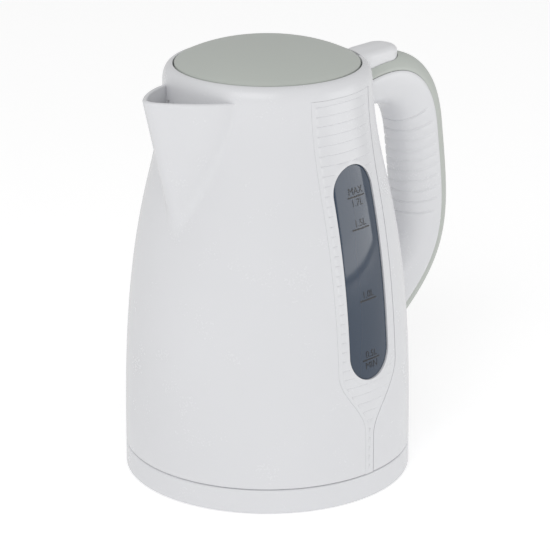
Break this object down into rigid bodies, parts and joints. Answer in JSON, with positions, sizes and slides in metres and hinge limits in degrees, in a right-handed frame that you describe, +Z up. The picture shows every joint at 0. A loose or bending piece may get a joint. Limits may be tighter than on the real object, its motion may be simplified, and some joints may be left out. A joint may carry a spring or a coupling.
{
  "type": "electric kettle",
  "caption": "Cordless jug kettle on a round power base: white tapered jug with wedge spout, side level gauges, D handle, domed grey lid opened by a handle button.",
  "frame": {"origin": "on the vertical axis of the jug, at the surface that the rubber feet stand on", "axes": "+Z up, spout along -X, handle along +X, level gauges facing -Y and +Y"},
  "size_m": [0.2141, 0.1516, 0.2302],
  "materials": {
    "white_plastic": "moulded white polypropylene, glossy",
    "grey_plastic": "fine matt grey-green",
    "button_plastic": "light grey, satin",
    "smoky_window": "tinted clear plastic, glossy",
    "pale_plastic": "plain moulded",
    "black_plastic": "plain moulded",
    "steel": "brushed",
    "zinc_steel": "zinc plated",
    "brass": "plain",
    "silicone": "translucent white silicone",
    "foot_rubber": "soft black rubber"
  },
  "bodies": {
    "power_base": {"base_shell": "white_plastic", "base_plate": "pale_plastic", "base_feet": "foot_rubber", "base_screws": "zinc_steel", "base_connector": "pale_plastic", "base_contacts": "brass"},
    "kettle": {"jug_shell": "white_plastic", "window_right": "smoky_window", "window_left": "smoky_window", "gauge_trim_right": "white_plastic", "gauge_trim_left": "white_plastic", "spout_filter": "pale_plastic", "filter_mesh": "steel", "element_plate": "steel", "plate_seal": "silicone", "heating_element": "steel", "control_body": "black_plastic", "bimetal_discs": "brass", "socket_contacts": "brass", "jug_bottom": "pale_plastic", "bottom_screws": "zinc_steel", "switch_pin": "zinc_steel", "handle_grip": "white_plastic", "handle_cover": "grey_plastic", "cover_screw": "zinc_steel", "button_spring": "zinc_steel", "hinge_pin": "zinc_steel"},
    "lid": {"lid_cover": "grey_plastic", "lid_liner": "pale_plastic", "lid_spring": "zinc_steel", "liner_screws": "zinc_steel"},
    "lid_button": {"lid_button": "button_plastic", "latch_arm": "pale_plastic"},
    "switch": {"switch_lever": "pale_plastic"},
    "trip_rod": {"trip_rod": "pale_plastic"}
  },
  "joints": [
    {"name": "kettle_lift", "type": "slide", "parent": "power_base", "child": "kettle", "axis": [0, 0, 1], "range_m": [0, 0.06]},
    {"name": "lid_hinge", "type": "hinge", "parent": "kettle", "child": "lid", "pos_m": [0.0445, 0, 0.2176], "axis": [0, 1, 0], "range_deg": [0, 80]},
    {"name": "button_press", "type": "slide", "parent": "kettle", "child": "lid_button", "axis": [0, 0, -1], "range_m": [0, 0.0032], "stiffness_N_per_m": 400, "springref_m": -0.002, "deforming": ["button_spring"]},
    {"name": "switch_rock", "type": "hinge", "parent": "kettle", "child": "switch", "pos_m": [0.063, 0, 0.0273], "axis": [0, 1, 0], "range_deg": [0, 12]},
    {"name": "trip_lift", "type": "slide", "parent": "kettle", "child": "trip_rod", "axis": [0, 0, 1], "range_m": [0, 0.0026]}
  ],
  "couplings": [
    {"joint": "trip_lift", "follows": "switch_rock", "m_per_rad": 0.012}
  ]
}
